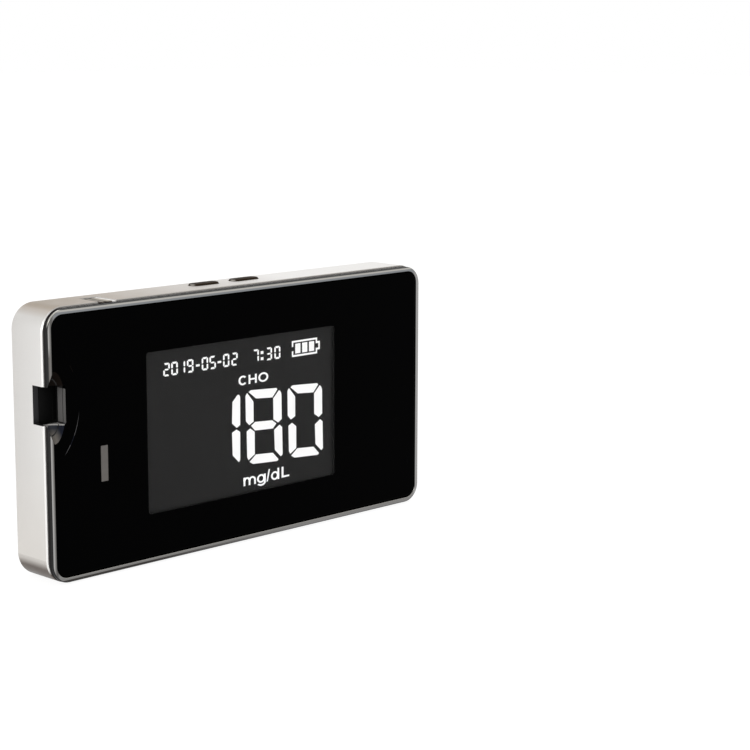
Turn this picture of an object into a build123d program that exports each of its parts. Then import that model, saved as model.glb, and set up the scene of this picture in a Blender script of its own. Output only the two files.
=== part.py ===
# Pocket blood glucose meter that stands on its long bottom edge.
# Axes: +X to the right of the front face, +Y to the back, +Z up. Origin: bottom centre. Millimetres.
# "depth" is the distance behind the front face; x and z of a feature are given from the middle of the
# body or from one of its outer faces.
from build123d import *
import os

# ---------------------------------------------------------------- driving dimensions
# Whole body; its depth follows from the parts stacked inside it
body_width = 98.0
body_height = 51.8
corner_radius = 4.8

# Rear shell
shell_groove = 0.22
side_wall = 1.2
back_wall = 1.1
lip_wall = 0.6
rear_rounding = 1.1
shell_bevel = 0.25
case_fit = 0.1
cut_margin = 1.0

# Chrome bezel and front panel
frame_inset = 0.3
frame_corner = 3.8
bezel_width = 0.98
bezel_thickness = 0.32
bezel_outer_rounding = 0.28
bezel_inner_rounding = 0.1
panel_recess = 0.08
panel_thickness = 0.9
panel_corner = 2.48
panel_rounding = 0.6
panel_gap = 0.02
tape_thickness = 0.15
tape_width = 1.6
tape_corner = 0.9

# Front frame
plate_thickness = 1.45
skirt_length = 1.2
skirt_wall = 0.9
seat_gap = 0.05

# Screen and display stack
screen_width = 49.4
screen_height = 31.4
screen_x = -1.25
screen_z = -0.35
screen_corner = 0.6
window_thickness = 0.45
window_gap = 0.07
lcd_border = (2.3, 2.7)
lcd_thickness = 1.8
lcd_clearance = 0.2
seal_thickness = 0.3
backlight_thickness = 1.3
holder_wall = 1.0
holder_floor = 0.6
holder_lip = 1.5
zebra_height = 1.8
backlight_led_size = (2.2, 0.8, 0.9)
backlight_led_pitch = 26.0

# Main board
board_gap = 0.5
board_thickness = 1.0
board_margin = 1.4
board_radius = 3.0
board_screw_inset = (8.5, 8.4)
board_boss_radius = 1.6
board_screw_radius = 0.7
board_screw_length = 2.6
board_screw_head_radius = 1.4
board_screw_head_height = 0.9

# Case screws, their bosses in the frame and their posts in the shell
post_inset = 4.7
post_radius = 2.2
boss_radius = 2.0
boss_step = 0.2
case_screw_radius = 1.0
case_screw_bite = 2.1
case_head_radius = 1.75
case_head_height = 1.1
case_head_sink = 0.4
thread_gap = 0.02
hole_gap = 0.15
recess_arm = (2.0, 0.45)
recess_depth = 0.6

# Strip port in the left side
port_z = 7.9
port_height = 7.2
port_floor_step = 0.25
port_reach = 4.2
port_corner = 0.3
funnel_centre = 1.55
funnel_half_width = 2.75
funnel_left_reach = 3.4
funnel_half_height = 7.0
funnel_rise = -0.3
funnel_depth = 4.3
dish_radius = 14.28
dish_reach = 7.28
dish_step = 0.06
dish_fall = 0.16
guide_wall = 1.0
guide_end_wall = 0.8
strip_width = 6.6
strip_gap_rise = 0.57
strip_gap = 1.0
connector_length = 8.0
connector_wall = 1.8
connector_roof = 0.4
connector_stop = 1.5
contact_count = 6
contact_pitch = 1.0
contact_width = 0.5
contact_thickness = 0.15
contact_foot = 0.5
contact_bump = 0.15
contact_tip = 1.0

# Indicator on the front
indicator_inset = 12.75
indicator_z = -4.35
indicator_width = 1.6
indicator_height = 6.8
indicator_gap = 0.04
indicator_led_size = (2.0, 1.2, 0.6)

# Code key in the top, near the left end
key_inset = 15.15
key_slot_width = 4.2
key_gap = 0.2
key_front_gap = 0.32
key_back_wall = 0.35
key_sink = 0.1
key_head_height = 2.0
key_lip_gap = 0.1
key_edge = 0.15
key_blade_width = 3.0
key_blade_thickness = 0.5
key_blade_length = 9.0
key_blade_bite = 5.2
key_blade_rise = 0.35
socket_wall = 0.9
socket_floor = 1.0
key_contact_count = 4
key_contact_pitch = 0.75
key_contact_width = 0.35

# Top buttons and their switches
button_x = (-5.85, 4.65)
button_rise_from_board = 1.0
button_length = 6.9
button_width = 2.6
button_radius = 1.25
button_rise = 0.35
button_edge = 0.3
button_gap = 0.15
button_travel = 0.35
flange_margin = 0.6
flange_height = 0.65
flange_gap = 0.15
stem_length = 3.0
stem_width = 1.6
stem_height = 0.9
switch_length = 6.0
switch_height = 3.3
switch_rise = 2.4
plunger_length = 2.4
plunger_width = 1.2
plunger_bite = 1.0
plunger_gap = 0.05

# Coin cells, their holder and the battery cover
cell_radius = 10.0
cell_thickness = 3.2
cell_can_step = 0.35
cell_lid_inset = 1.05
cell_rise = 0.95
cell_pitch = 21.0
cell_gap = 0.2
holder_rim = 1.0
holder_side_gap = 0.4
holder_ledge = 1.0
holder_back_gap = 0.35
spring_thickness = 0.2
spring_width = 4.0
spring_reach = 3.2
clip_width = 5.0
clip_thickness = 0.3
clip_gap = 0.1
cover_thickness = 1.05
cover_overlap = 1.0
cover_gap = 0.15
tongue_reach = 0.8
tongue_thickness = 0.5
tongue_gap = 0.1
tongue_end = 3.0
rail_thickness = 0.6
rail_reach = 1.25
grip_count = 5
grip_pitch = 1.4
grip_width = 0.6
grip_length = 9.0
grip_depth = 0.25
grip_inset = 4.0

# Parts on the rear face of the main board: places as (x from the left end, z from the middle),
# sizes as (width, height, rise)
processor_place, processor_size = (34.0, -8.5), (9.0, 9.0, 1.2)
memory_place, memory_size = (34.0, -16.0), (5.0, 4.0, 0.9)
analog_place, analog_size = (15.0, 6.5), (6.0, 5.0, 1.1)
radio_place, radio_size = (17.5, -12.0), (13.0, 11.0, 0.6)
shield_size = (9.5, 9.0, 1.5)
shield_offset = 1.6
crystal_place, crystal_size = (26.8, -15.0), (3.2, 1.5, 0.8)
capacitor_size = (1.6, 0.8, 0.8)
capacitor_places = (
    (27.0, -11.0),
    (27.0, -8.5),
    (27.0, -6.0),
    (21.0, 4.5),
    (21.0, 6.5),
    (21.0, 8.5),
    (40.5, -10.5),
    (40.5, -6.5),
)
buzzer_place = (32.0, 7.5)
buzzer_radius = 4.6
buzzer_rise = 2.8
buzzer_port = (0.9, 1.0)
sound_hole_radius = 0.45
sound_hole_ring = 2.0
sound_hole_count = 6

# ---------------------------------------------------------------- places worked out from them
mid_z = body_height / 2
left_x = -body_width / 2
right_x = body_width / 2
half_height = body_height / 2

bezel_inset = frame_inset + bezel_width
panel_inset = bezel_inset + panel_gap
panel_back = panel_recess + panel_thickness
window_back = panel_recess + window_thickness

frame_face = panel_back + tape_thickness
frame_back = frame_face + plate_thickness
skirt_back = frame_back + skirt_length
shell_front = frame_face + shell_groove
lip_back = frame_back + seat_gap
plate_inset = lip_wall + seat_gap
skirt_inset = side_wall + case_fit

lcd_width = screen_width + 2 * lcd_border[0]
lcd_height = screen_height + 2 * lcd_border[1]
lcd_front = window_back + window_gap
lcd_back = lcd_front + lcd_thickness
backlight_back = lcd_back + backlight_thickness
pocket_width = lcd_width + 2 * lcd_clearance
pocket_height = lcd_height + 2 * lcd_clearance
holder_width = pocket_width + 2 * holder_wall
holder_height = pocket_height + 2 * holder_wall
holder_front = panel_back + seal_thickness
holder_back = backlight_back + holder_floor
lcd_bottom = screen_z - lcd_height / 2
zebra_z = lcd_bottom + lcd_clearance + zebra_height / 2
backlight_bottom = lcd_bottom + 2 * lcd_clearance + zebra_height
backlight_top = screen_z + lcd_height / 2

board_front = holder_back + board_gap
board_back = board_front + board_thickness
board_width = body_width - 2 * (side_wall + board_margin)
board_height = body_height - 2 * (side_wall + board_margin)
board_screw_pitch = (body_width - 2 * board_screw_inset[0], body_height - 2 * board_screw_inset[1])
post_pitch = (body_width - 2 * post_inset, body_height - 2 * post_inset)
boss_back = board_back + boss_step
post_front = boss_back + case_fit

cell_front = board_back + cell_rise
cell_shoulder = cell_front + cell_can_step
cell_back = cell_front + cell_thickness
cover_front = cell_back + cell_gap
body_depth = cover_front + cover_thickness
front_y = -body_depth / 2
inner_back = body_depth - back_wall
case_head_top = body_depth - case_head_sink
case_head_seat = case_head_top - case_head_height

strip_gap_front = frame_back + strip_gap_rise
strip_gap_back = strip_gap_front + strip_gap
port_floor = strip_gap_back + port_floor_step
port_end_x = left_x + port_reach
funnel_x = left_x + funnel_centre
funnel_z = port_z + funnel_rise
dish_x = left_x + dish_reach - dish_radius
guide_left_x = left_x + side_wall + case_fit
guide_right_x = port_end_x + guide_end_wall
guide_half_height = port_height / 2 + guide_wall
connector_left_x = guide_right_x + case_fit
connector_right_x = connector_left_x + connector_length
connector_front = strip_gap_front - connector_roof

indicator_x = left_x + indicator_inset
indicator_back = board_front - indicator_led_size[2] - case_fit

key_x = left_x + key_inset
key_top = body_height - key_sink
key_head_bottom = key_top - key_head_height
key_lip_bottom = body_height - plate_inset + key_lip_gap
key_width = key_slot_width - 2 * key_gap
blade_front = board_back + key_blade_rise
blade_back = blade_front + key_blade_thickness
key_front = frame_back + key_front_gap
key_back = blade_back + key_back_wall
key_slot_back = key_back + key_gap
blade_bottom = key_head_bottom - key_blade_length
socket_top = blade_bottom + key_blade_bite
socket_bottom = blade_bottom - case_fit - socket_floor
socket_back = blade_back + case_fit + socket_wall
socket_width = key_blade_width + 2 * (case_fit + socket_wall)

shell_ceiling = body_height - side_wall
flange_top = shell_ceiling - flange_gap
flange_bottom = flange_top - flange_height
stem_bottom = flange_bottom - stem_height
switch_top = stem_bottom - 2 * button_travel
switch_bottom = switch_top - switch_height
button_depth = board_back + button_rise_from_board

cell_hole_radius = cell_radius + cell_gap
holder_reach = cell_hole_radius + holder_rim
right_cell_x = right_x - side_wall - holder_side_gap - holder_reach
cell_x = (right_cell_x - cell_pitch, right_cell_x)
battery_left_x = cell_x[0] - holder_reach
battery_right_x = cell_x[1] + holder_reach
cover_left_x = battery_left_x - holder_side_gap
cover_half_height = holder_reach + cover_overlap
tongue_half_height = cover_half_height + tongue_reach
tongue_back = cover_front + tongue_thickness
rail_back = cover_front - tongue_gap
rail_inner_z = holder_reach + holder_side_gap
rail_outer_z = tongue_half_height + cover_gap + rail_reach


def upright(depth):
    """Plane parallel to the front face at a depth behind it, looking forward, centred on the body."""
    return Plane(origin=(0, front_y + depth, mid_z), x_dir=(1, 0, 0), z_dir=(0, -1, 0))


def level(height):
    """Horizontal plane at a height above the bottom, with its origin on the front face."""
    return Plane(origin=(0, front_y, height), x_dir=(1, 0, 0), z_dir=(0, 0, 1))


def outline(inset, mode=Mode.ADD, corner=None):
    """Rounded outline of the body, moved inwards, for the sketch that is being drawn.

    Its corners follow the body's, unless a radius is given."""
    radius = corner_radius - inset if corner is None else corner
    RectangleRounded(body_width - 2 * inset, body_height - 2 * inset, radius, mode=mode)


def save(piece, name):
    """Name a finished piece and write its STEP file."""
    piece.part.label = name
    export_step(piece.part, f"parts/{name}.step")


def funnel():
    """The funnel of the strip port, as a tool that widens towards the front: half an ellipse on the right,
    and two straight sides that run out through the left side of the body."""
    with BuildPart() as tool:
        for depth in (-cut_margin, frame_back):
            share = 1 - depth / funnel_depth
            tip = funnel_half_height * share
            with BuildSketch(upright(depth)):
                with BuildLine():
                    EllipticalCenterArc(
                        (funnel_x, funnel_z), funnel_half_width * share, tip, start_angle=-90, arc_size=180
                    )
                    Polyline(
                        (funnel_x, funnel_z + tip),
                        (funnel_x - funnel_left_reach * share, funnel_z),
                        (funnel_x, funnel_z - tip),
                    )
                make_face()
        loft()
    return tool.part


def port_slot():
    """The straight notch of the strip port, open to the left and to the front."""
    with BuildPart() as tool:
        with BuildSketch(upright(port_floor)):
            with Locations((left_x, port_z)):
                RectangleRounded(2 * port_reach, port_height, port_corner)
        extrude(amount=port_floor + cut_margin)
    return tool.part


def on_board(place):
    """Place on the board's rear face, given from the left end and the middle."""
    return (left_x + place[0], place[1])


def board_block(place, size):
    """A plain component on the rear face of the main board."""
    width, height, rise = size
    with BuildPart() as block:
        with BuildSketch(upright(board_back + rise)):
            with Locations(on_board(place)):
                Rectangle(width, height)
        extrude(amount=rise)
    return block


os.makedirs("parts", exist_ok=True)
funnel_tool = funnel()
slot_tool = port_slot()

# ---------------------------------------------------------------- rear shell
with BuildPart() as rear_shell:
    with BuildSketch(upright(body_depth)):
        outline(0)
    extrude(amount=body_depth - shell_front)
    fillet(rear_shell.faces().sort_by(Axis.Y)[-1].edges(), rear_rounding)
    chamfer(rear_shell.faces().sort_by(Axis.Y)[0].edges(), shell_bevel)
    # The thin lip in front, then the full cavity behind it
    with BuildSketch(upright(lip_back)):
        outline(lip_wall)
    extrude(amount=lip_back - shell_front, mode=Mode.SUBTRACT)
    with BuildSketch(upright(inner_back)):
        outline(side_wall)
    extrude(amount=inner_back - lip_back, mode=Mode.SUBTRACT)
    # Posts for the case screws
    with BuildSketch(upright(inner_back)):
        with GridLocations(*post_pitch, 2, 2):
            Circle(post_radius)
    extrude(amount=inner_back - post_front)
    with BuildSketch(upright(body_depth)):
        with GridLocations(*post_pitch, 2, 2):
            Circle(case_screw_radius + hole_gap)
    extrude(amount=body_depth - post_front, mode=Mode.SUBTRACT)
    with BuildSketch(upright(body_depth)):
        with GridLocations(*post_pitch, 2, 2):
            Circle(case_head_radius + hole_gap)
    extrude(amount=body_depth - case_head_seat, mode=Mode.SUBTRACT)
    # Rails that carry the tongues of the battery cover
    with BuildSketch(upright(inner_back)):
        with Locations(
            ((cover_left_x + right_x) / 2, (rail_inner_z + rail_outer_z) / 2),
            ((cover_left_x + right_x) / 2, -(rail_inner_z + rail_outer_z) / 2),
        ):
            Rectangle(right_x - cover_left_x - side_wall, rail_outer_z - rail_inner_z)
    extrude(amount=inner_back - rail_back + rail_thickness)
    # Opening of the battery cover, through the back wall and the right end
    with BuildSketch(upright(body_depth)):
        with Locations((cover_left_x - cover_gap, 0)):
            Rectangle(body_width, 2 * (cover_half_height + cover_gap), align=(Align.MIN, Align.CENTER))
    extrude(amount=body_depth - rail_back, mode=Mode.SUBTRACT)
    with BuildSketch(upright(tongue_back + tongue_gap)):
        with Locations((cover_left_x - cover_gap, 0)):
            Rectangle(body_width, 2 * (tongue_half_height + cover_gap), align=(Align.MIN, Align.CENTER))
    extrude(amount=tongue_back + tongue_gap - rail_back, mode=Mode.SUBTRACT)
    # Sound holes of the buzzer
    with BuildSketch(upright(body_depth)):
        with Locations(on_board(buzzer_place)):
            Circle(sound_hole_radius)
            with PolarLocations(sound_hole_ring, sound_hole_count):
                Circle(sound_hole_radius)
    extrude(amount=back_wall, mode=Mode.SUBTRACT)
    # Button openings and the code key slot in the top wall
    with BuildSketch(level(body_height)):
        with Locations(*((x, button_depth) for x in button_x)):
            RectangleRounded(
                button_length + 2 * button_gap, button_width + 2 * button_gap, button_radius + button_gap
            )
    extrude(amount=-side_wall, mode=Mode.SUBTRACT)
    with BuildSketch(level(body_height)):
        with Locations((key_x, 0)):
            Rectangle(key_slot_width, key_slot_back, align=(Align.CENTER, Align.MIN))
    extrude(amount=-side_wall, mode=Mode.SUBTRACT)
    # Notch of the strip port in the left wall
    add(slot_tool, mode=Mode.SUBTRACT)
save(rear_shell, "rear_shell")

# ---------------------------------------------------------------- battery cover
with BuildPart() as battery_cover:
    with BuildSketch(upright(body_depth)):
        outline(0)
    extrude(amount=body_depth - shell_front)
    fillet(battery_cover.faces().sort_by(Axis.Y)[-1].edges(), rear_rounding)
    with BuildSketch(upright(body_depth)):
        with Locations((cover_left_x, 0)):
            Rectangle(right_x - cover_left_x, 2 * cover_half_height, align=(Align.MIN, Align.CENTER))
    extrude(amount=cover_thickness, mode=Mode.INTERSECT)
    with BuildSketch(upright(tongue_back)):
        with Locations((cover_left_x, 0)):
            Rectangle(
                right_x - cover_left_x - tongue_end, 2 * tongue_half_height, align=(Align.MIN, Align.CENTER)
            )
    extrude(amount=tongue_thickness)
    with BuildSketch(upright(body_depth)):
        with Locations((cover_left_x + grip_inset + grip_pitch * (grip_count - 1) / 2, 0)):
            with GridLocations(grip_pitch, 0, grip_count, 1):
                SlotOverall(grip_length, grip_width, rotation=90)
    extrude(amount=grip_depth, mode=Mode.SUBTRACT)
save(battery_cover, "battery_cover")

# ---------------------------------------------------------------- front frame
with BuildPart() as front_frame:
    # Rim under the bezel, round the edge of the panel
    with BuildSketch(upright(frame_face)):
        outline(frame_inset, corner=frame_corner)
        outline(bezel_inset, Mode.SUBTRACT, panel_corner + panel_gap)
    extrude(amount=frame_face - bezel_thickness)
    # Plate behind the panel
    with BuildSketch(upright(frame_back)):
        outline(plate_inset)
    extrude(amount=plate_thickness)
    # Skirt that locates the frame inside the shell
    with BuildSketch(upright(skirt_back)):
        outline(skirt_inset)
        outline(skirt_inset + skirt_wall, Mode.SUBTRACT)
    extrude(amount=skirt_length)
    # Bosses for the case screws and the board screws
    with BuildSketch(upright(boss_back)):
        with GridLocations(*post_pitch, 2, 2):
            Circle(boss_radius)
    extrude(amount=boss_back - frame_back)
    with BuildSketch(upright(board_front)):
        with GridLocations(*board_screw_pitch, 2, 2):
            Circle(board_boss_radius)
    extrude(amount=board_front - frame_back)
    with BuildSketch(upright(boss_back)):
        with GridLocations(*post_pitch, 2, 2):
            Circle(case_screw_radius + thread_gap)
    extrude(amount=case_screw_bite + seat_gap, mode=Mode.SUBTRACT)
    with BuildSketch(upright(board_front)):
        with GridLocations(*board_screw_pitch, 2, 2):
            Circle(board_screw_radius + thread_gap)
    extrude(amount=board_screw_length - board_thickness + seat_gap, mode=Mode.SUBTRACT)
    # Openings for the display holder and the indicator
    with BuildSketch(upright(frame_back)):
        with Locations((screen_x, screen_z)):
            Rectangle(holder_width + 2 * lcd_clearance, holder_height + 2 * lcd_clearance)
        with Locations((indicator_x, indicator_z)):
            Rectangle(indicator_width + 2 * case_fit, indicator_height + 2 * case_fit)
    extrude(amount=plate_thickness, mode=Mode.SUBTRACT)
    # Room for the head of the code key, for the strip port and for its lining
    with BuildSketch(upright(skirt_back)):
        with Locations((key_x, half_height)):
            Rectangle(key_slot_width, 2 * (side_wall + key_head_height + key_gap))
        with Locations((left_x, port_z)):
            Rectangle(2 * (guide_right_x + case_fit - left_x), 2 * (guide_half_height + case_fit))
    extrude(amount=skirt_length, mode=Mode.SUBTRACT)
    add(slot_tool, mode=Mode.SUBTRACT)
    add(funnel_tool, mode=Mode.SUBTRACT)
save(front_frame, "front_frame")

# ---------------------------------------------------------------- chrome bezel
with BuildPart() as chrome_bezel:
    with BuildSketch(upright(bezel_thickness)):
        outline(frame_inset, corner=frame_corner)
    extrude(amount=bezel_thickness)
    fillet(chrome_bezel.faces().sort_by(Axis.Y)[0].edges(), bezel_outer_rounding)
    with BuildSketch(upright(bezel_thickness)):
        outline(bezel_inset, corner=panel_corner + panel_gap)
    extrude(amount=bezel_thickness, mode=Mode.SUBTRACT)
    fillet(chrome_bezel.faces().sort_by(Axis.Y)[0].inner_wires()[0].edges(), bezel_inner_rounding)
    add(slot_tool, mode=Mode.SUBTRACT)
    add(funnel_tool, mode=Mode.SUBTRACT)
save(chrome_bezel, "chrome_bezel")

# ---------------------------------------------------------------- front panel
with BuildPart() as front_panel:
    with BuildSketch(upright(panel_back)):
        outline(panel_inset, corner=panel_corner)
    extrude(amount=panel_thickness)
    fillet(front_panel.faces().sort_by(Axis.Y)[0].edges(), panel_rounding)
    with BuildSketch(upright(panel_back)):
        with Locations((screen_x, screen_z)):
            RectangleRounded(screen_width, screen_height, screen_corner)
        with Locations((indicator_x, indicator_z)):
            Rectangle(indicator_width + 2 * indicator_gap, indicator_height + 2 * indicator_gap)
    extrude(amount=panel_thickness, mode=Mode.SUBTRACT)
    with BuildSketch(upright(panel_back)):
        with Locations((screen_x, screen_z)):
            Rectangle(pocket_width, pocket_height)
    extrude(amount=panel_back - window_back, mode=Mode.SUBTRACT)
    # Shallow round dish about the strip port, with a small step at its edge
    with BuildSketch(level(mid_z + port_z)):
        with BuildLine():
            Polyline(
                (dish_x, -cut_margin),
                (dish_x + dish_radius, -cut_margin),
                (dish_x + dish_radius, panel_recess),
                (dish_x + dish_radius - dish_step, panel_recess + dish_step),
                (dish_x, panel_recess + dish_step + dish_fall),
                close=True,
            )
        make_face()
    revolve(axis=Axis((dish_x, 0, mid_z + port_z), (0, 1, 0)), mode=Mode.SUBTRACT)
    add(slot_tool, mode=Mode.SUBTRACT)
    add(funnel_tool, mode=Mode.SUBTRACT)
save(front_panel, "front_panel")

with BuildPart() as panel_tape:
    with BuildSketch(upright(frame_face)):
        outline(panel_inset, corner=panel_corner)
        outline(panel_inset + tape_width, Mode.SUBTRACT, tape_corner)
    extrude(amount=tape_thickness)
    add(slot_tool, mode=Mode.SUBTRACT)
    add(funnel_tool, mode=Mode.SUBTRACT)
save(panel_tape, "panel_tape")

with BuildPart() as display_window:
    with BuildSketch(upright(window_back)):
        with Locations((screen_x, screen_z)):
            RectangleRounded(
                screen_width - 2 * panel_gap, screen_height - 2 * panel_gap, screen_corner - panel_gap
            )
    extrude(amount=window_thickness)
save(display_window, "display_window")

with BuildPart() as indicator_window:
    with BuildSketch(upright(indicator_back)):
        with Locations((indicator_x, indicator_z)):
            Rectangle(indicator_width, indicator_height)
    extrude(amount=indicator_back - panel_recess)
save(indicator_window, "indicator_window")

# ---------------------------------------------------------------- display stack
with BuildPart() as lcd_seal:
    with BuildSketch(upright(holder_front)):
        with Locations((screen_x, screen_z)):
            Rectangle(holder_width, holder_height)
            Rectangle(pocket_width, pocket_height, mode=Mode.SUBTRACT)
    extrude(amount=seal_thickness)
save(lcd_seal, "lcd_seal")

with BuildPart() as lcd_glass:
    with BuildSketch(upright(lcd_back)):
        with Locations((screen_x, screen_z)):
            Rectangle(lcd_width, lcd_height)
    extrude(amount=lcd_thickness)
save(lcd_glass, "lcd_glass")

lamp_width, lamp_height, lamp_rise = backlight_led_size
with BuildPart() as lcd_backlight:
    with BuildSketch(upright(backlight_back)):
        with Locations((screen_x, backlight_bottom)):
            Rectangle(lcd_width, backlight_top - backlight_bottom, align=(Align.CENTER, Align.MIN))
        with Locations((screen_x, backlight_top)):
            with GridLocations(backlight_led_pitch, 0, 2, 1):
                Rectangle(
                    lamp_width + 2 * case_fit,
                    lamp_height + case_fit,
                    align=(Align.CENTER, Align.MAX),
                    mode=Mode.SUBTRACT,
                )
    extrude(amount=backlight_thickness)
save(lcd_backlight, "lcd_backlight")

with BuildPart() as backlight_leds:
    with BuildSketch(upright(backlight_back)):
        with Locations((screen_x, backlight_top)):
            with GridLocations(backlight_led_pitch, 0, 2, 1):
                Rectangle(lamp_width, lamp_height, align=(Align.CENTER, Align.MAX))
    extrude(amount=lamp_rise)
save(backlight_leds, "backlight_leds")

with BuildPart() as zebra_strip:
    with BuildSketch(upright(board_front)):
        with Locations((screen_x, zebra_z)):
            Rectangle(screen_width, zebra_height)
    extrude(amount=board_front - lcd_back)
save(zebra_strip, "zebra_strip")

with BuildPart() as lcd_holder:
    with BuildSketch(upright(holder_back)):
        with Locations((screen_x, screen_z)):
            Rectangle(holder_width, holder_height)
    extrude(amount=holder_back - holder_front)
    with BuildSketch(upright(backlight_back)):
        with Locations((screen_x, screen_z)):
            Rectangle(pocket_width, pocket_height)
    extrude(amount=backlight_back - holder_front, mode=Mode.SUBTRACT)
    # The floor is open in the middle and over the contact strip
    with BuildSketch(upright(holder_back)):
        with Locations((screen_x, backlight_bottom + holder_lip)):
            Rectangle(
                lcd_width - 2 * holder_lip,
                backlight_top - backlight_bottom - 2 * holder_lip,
                align=(Align.CENTER, Align.MIN),
            )
        with Locations((screen_x, zebra_z)):
            Rectangle(screen_width + 2 * case_fit, zebra_height + 2 * case_fit)
    extrude(amount=holder_floor, mode=Mode.SUBTRACT)
save(lcd_holder, "lcd_holder")

# ---------------------------------------------------------------- strip port lining and connector
with BuildPart() as strip_guide:
    with BuildSketch(upright(board_front)):
        with Locations((guide_left_x, port_z)):
            Rectangle(guide_right_x - guide_left_x, 2 * guide_half_height, align=(Align.MIN, Align.CENTER))
    extrude(amount=board_front - frame_back)
    with BuildSketch(upright(strip_gap_back)):
        with Locations((port_end_x, port_z)):
            Rectangle(2 * port_reach, strip_width)
    extrude(amount=strip_gap, mode=Mode.SUBTRACT)
    add(slot_tool, mode=Mode.SUBTRACT)
save(strip_guide, "strip_guide")

contact_spots = GridLocations(0, contact_pitch, 1, contact_count).locations
contact_heights = [mid_z + port_z + spot.position.Y for spot in contact_spots]
with BuildPart() as strip_connector:
    with BuildSketch(upright(board_front)):
        with Locations((connector_left_x, port_z)):
            Rectangle(connector_length, strip_width + 2 * connector_wall, align=(Align.MIN, Align.CENTER))
    extrude(amount=board_front - connector_front)
    with BuildSketch(upright(strip_gap_back)):
        with Locations((connector_left_x, port_z)):
            Rectangle(connector_length - connector_stop, strip_width, align=(Align.MIN, Align.CENTER))
    extrude(amount=strip_gap, mode=Mode.SUBTRACT)
    # Channels for the contacts, open to the board
    with BuildSketch(upright(board_front)):
        with Locations((connector_right_x - connector_stop, port_z)):
            with GridLocations(0, contact_pitch, 1, contact_count):
                Rectangle(connector_length, contact_width + 2 * seat_gap)
    extrude(amount=board_front - strip_gap_back, mode=Mode.SUBTRACT)
save(strip_connector, "strip_connector")

leaf_rear = board_front - contact_thickness / 2
leaf_front = strip_gap_back - contact_bump
leaf_bump_x = connector_left_x + connector_length / 2
with BuildPart() as strip_contacts:
    for height in contact_heights:
        with BuildSketch(level(height)):
            with BuildLine():
                Polyline(
                    (connector_right_x + contact_foot, leaf_rear),
                    (connector_right_x - connector_stop, leaf_rear),
                    (leaf_bump_x, leaf_front),
                    (leaf_bump_x - contact_tip, leaf_front + contact_bump),
                )
            trace(line_width=contact_thickness)
        extrude(amount=contact_width / 2, both=True)
save(strip_contacts, "strip_contacts")

# ---------------------------------------------------------------- main board and its parts
with BuildPart() as main_board:
    with BuildSketch(upright(board_back)):
        RectangleRounded(board_width, board_height, board_radius)
        with GridLocations(*post_pitch, 2, 2):
            Circle(post_radius + 2 * hole_gap, mode=Mode.SUBTRACT)
        with GridLocations(*board_screw_pitch, 2, 2):
            Circle(board_screw_radius + hole_gap, mode=Mode.SUBTRACT)
    extrude(amount=board_thickness)
save(main_board, "main_board")

with BuildPart() as board_screws:
    with BuildSketch(upright(board_back + board_screw_head_height)):
        with GridLocations(*board_screw_pitch, 2, 2):
            Circle(board_screw_head_radius)
    extrude(amount=board_screw_head_height)
    with BuildSketch(upright(board_back)):
        with GridLocations(*board_screw_pitch, 2, 2):
            Circle(board_screw_radius)
    extrude(amount=board_screw_length)
save(board_screws, "board_screws")

with BuildPart() as case_screws:
    with BuildSketch(upright(case_head_top)):
        with GridLocations(*post_pitch, 2, 2):
            Circle(case_head_radius)
    extrude(amount=case_head_height)
    with BuildSketch(upright(case_head_seat)):
        with GridLocations(*post_pitch, 2, 2):
            Circle(case_screw_radius)
    extrude(amount=case_head_seat - boss_back + case_screw_bite)
    with BuildSketch(upright(case_head_top)):
        with GridLocations(*post_pitch, 2, 2):
            Rectangle(*recess_arm)
            Rectangle(*recess_arm, rotation=90)
    extrude(amount=recess_depth, mode=Mode.SUBTRACT)
save(case_screws, "case_screws")

processor_chip = board_block(processor_place, processor_size)
memory_chip = board_block(memory_place, memory_size)
analog_chip = board_block(analog_place, analog_size)
radio_board = board_block(radio_place, radio_size)
clock_crystal = board_block(crystal_place, crystal_size)
save(processor_chip, "processor_chip")
save(memory_chip, "memory_chip")
save(analog_chip, "analog_chip")
save(radio_board, "radio_board")
save(clock_crystal, "clock_crystal")

shield_width, shield_height, shield_rise = shield_size
with BuildPart() as radio_shield:
    with BuildSketch(upright(board_back + radio_size[2] + shield_rise)):
        with Locations(on_board((radio_place[0] + shield_offset, radio_place[1]))):
            Rectangle(shield_width, shield_height)
    extrude(amount=shield_rise)
save(radio_shield, "radio_shield")

with BuildPart() as chip_capacitors:
    with BuildSketch(upright(board_back + capacitor_size[2])):
        with Locations(*(on_board(place) for place in capacitor_places)):
            Rectangle(capacitor_size[0], capacitor_size[1])
    extrude(amount=capacitor_size[2])
save(chip_capacitors, "chip_capacitors")

with BuildPart() as buzzer:
    with BuildSketch(upright(board_back + buzzer_rise)):
        with Locations(on_board(buzzer_place)):
            Circle(buzzer_radius)
    extrude(amount=buzzer_rise)
    with BuildSketch(upright(board_back + buzzer_rise)):
        with Locations(on_board(buzzer_place)):
            Circle(buzzer_port[0])
    extrude(amount=buzzer_port[1], mode=Mode.SUBTRACT)
save(buzzer, "buzzer")

led_width, led_height, led_rise = indicator_led_size
with BuildPart() as indicator_led:
    with BuildSketch(upright(board_front)):
        with Locations((indicator_x, indicator_z)):
            Rectangle(led_width, led_height)
    extrude(amount=led_rise)
save(indicator_led, "indicator_led")

# ---------------------------------------------------------------- code key and its socket
with BuildPart() as code_key_cap:
    with BuildSketch(level(key_head_bottom)):
        with Locations((key_x, key_front)):
            Rectangle(key_width, key_back - key_front, align=(Align.CENTER, Align.MIN))
    extrude(amount=key_head_height)
    # Lip that reaches forward over the front frame, in line with the front of the shell
    with BuildSketch(level(key_lip_bottom)):
        with Locations((key_x, shell_front)):
            Rectangle(key_width, key_front - shell_front, align=(Align.CENTER, Align.MIN))
    extrude(amount=key_top - key_lip_bottom)
    chamfer(code_key_cap.faces().sort_by(Axis.Z)[-1].edges(), key_edge)
save(code_key_cap, "code_key_cap")

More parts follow.
